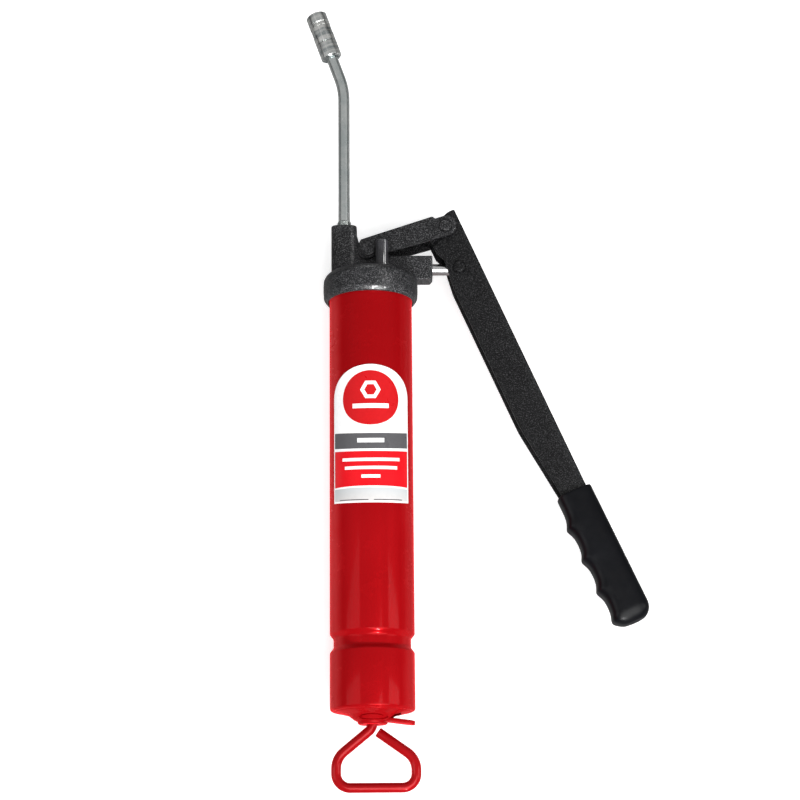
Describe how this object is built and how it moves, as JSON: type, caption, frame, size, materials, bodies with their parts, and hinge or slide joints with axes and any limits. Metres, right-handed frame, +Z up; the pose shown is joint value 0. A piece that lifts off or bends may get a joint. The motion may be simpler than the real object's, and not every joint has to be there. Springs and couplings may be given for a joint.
{
  "type": "grease gun",
  "caption": "Lever-action grease gun: a barrel with a sprung follower on a pull rod, a pump head with a linked lever and moulded grip, and a bent pipe with a grease coupler.",
  "frame": {"origin": "middle of the footprint of the gun lying on its back, at the level of the collar's lowest point", "axes": "+Y along the barrel towards the coupler, +X towards the lever, +Z up, which is the gun's front with the label"},
  "size_m": [0.2307, 0.5556, 0.0654],
  "materials": {
    "red_paint": "gloss",
    "black_hammertone": "hammered semi-gloss",
    "zinc_plate": "satin",
    "plunger_chrome": "polished",
    "spring_steel": "dull",
    "black_vinyl": "satin",
    "nitrile_rubber": "matte",
    "label_film": "satin"
  },
  "bodies": {
    "head": {"pump_head": "black_hammertone", "head_gasket": "nitrile_rubber", "outlet_check_spring": "spring_steel", "plunger_seal": "nitrile_rubber", "plunger_seal_retainer": "zinc_plate", "air_bleed_body": "black_hammertone", "air_bleed_spring": "spring_steel", "extension_pipe": "zinc_plate", "coupler_body": "zinc_plate", "coupler_sleeve": "zinc_plate", "coupler_spring": "spring_steel", "link_pivot_bolt": "black_hammertone", "link_pivot_nut": "black_hammertone"},
    "check_ball": {"outlet_check_ball": "plunger_chrome"},
    "bleed_pin": {"air_bleed_pin": "zinc_plate"},
    "coupler_jaws": {"coupler_jaw_1": "spring_steel", "coupler_jaw_2": "spring_steel", "coupler_jaw_3": "spring_steel", "coupler_seal_piston": "nitrile_rubber"},
    "link": {"link_channel": "black_hammertone", "link_lever_rivet": "black_hammertone"},
    "lever": {"lever_channel": "black_hammertone", "lever_grip": "black_vinyl", "lever_pivot_spacer": "zinc_plate", "plunger_rivet": "black_hammertone", "plunger_spacer_front": "zinc_plate", "plunger_spacer_back": "zinc_plate"},
    "plunger": {"pump_plunger": "plunger_chrome"},
    "barrel": {"barrel_tube": "red_paint", "barrel_end_cap": "red_paint", "spring_seat_washer": "zinc_plate", "rod_lock_spring": "spring_steel", "follower_spring": "spring_steel", "barrel_label": "label_film"},
    "follower": {"follower_rod": "red_paint", "follower_back_plate": "zinc_plate", "follower_cup_seal": "nitrile_rubber", "follower_front_plate": "zinc_plate", "follower_nut": "zinc_plate"},
    "rod_lock": {"rod_lock_plate": "red_paint"}
  },
  "joints": [
    {"name": "lever_swing", "type": "hinge", "parent": "link", "child": "lever", "pos_m": [-0.01827, 0.11303, 0.0327], "axis": [0, 0, 1], "range_deg": [-25, 26]},
    {"name": "link_swing", "type": "hinge", "parent": "head", "child": "link", "pos_m": [-0.07197, 0.09533, 0.0327], "axis": [0, 0, 1], "range_deg": [-3.9, 3.9]},
    {"name": "plunger_stroke", "type": "slide", "parent": "head", "child": "plunger", "axis": [1, 0, 0], "range_m": [-0.012, 0.0125]},
    {"name": "outlet_check_lift", "type": "slide", "parent": "head", "child": "check_ball", "axis": [0, 1, 0], "range_m": [0, 0.0015], "stiffness_N_per_m": 200, "springref_m": -0.002, "deforming": ["outlet_check_spring"]},
    {"name": "air_bleed_press", "type": "slide", "parent": "head", "child": "bleed_pin", "axis": [0, -1, 0], "range_m": [0, 0.0015], "stiffness_N_per_m": 400, "springref_m": -0.002, "deforming": ["air_bleed_spring"]},
    {"name": "coupler_jaw_slide", "type": "slide", "parent": "head", "child": "coupler_jaws", "axis": [0.3322, -0.9432, 0], "range_m": [0, 0.0015], "stiffness_N_per_m": 500, "springref_m": -0.003, "deforming": ["coupler_spring"]},
    {"name": "barrel_withdraw", "type": "slide", "parent": "head", "child": "barrel", "axis": [0, -1, 0], "range_m": [0, 0.06]},
    {"name": "follower_draw", "type": "slide", "parent": "barrel", "child": "follower", "axis": [0, -1, 0], "range_m": [0, 0.222], "stiffness_N_per_m": 150, "springref_m": -0.05, "deforming": ["follower_spring"]},
    {"name": "rod_lock_tilt", "type": "hinge", "parent": "barrel", "child": "rod_lock", "pos_m": [-0.08027, -0.22687, 0.0327], "axis": [0, 0, 1], "range_deg": [0, 6], "stiffness_Nm_per_rad": 0.5, "springref_deg": -5.73, "deforming": ["rod_lock_spring"]}
  ],
  "couplings": [
    {"joint": "link_swing", "follows": "lever_swing", "ratio": -0.145},
    {"joint": "plunger_stroke", "follows": "lever_swing", "m_per_rad": 0.02727}
  ]
}
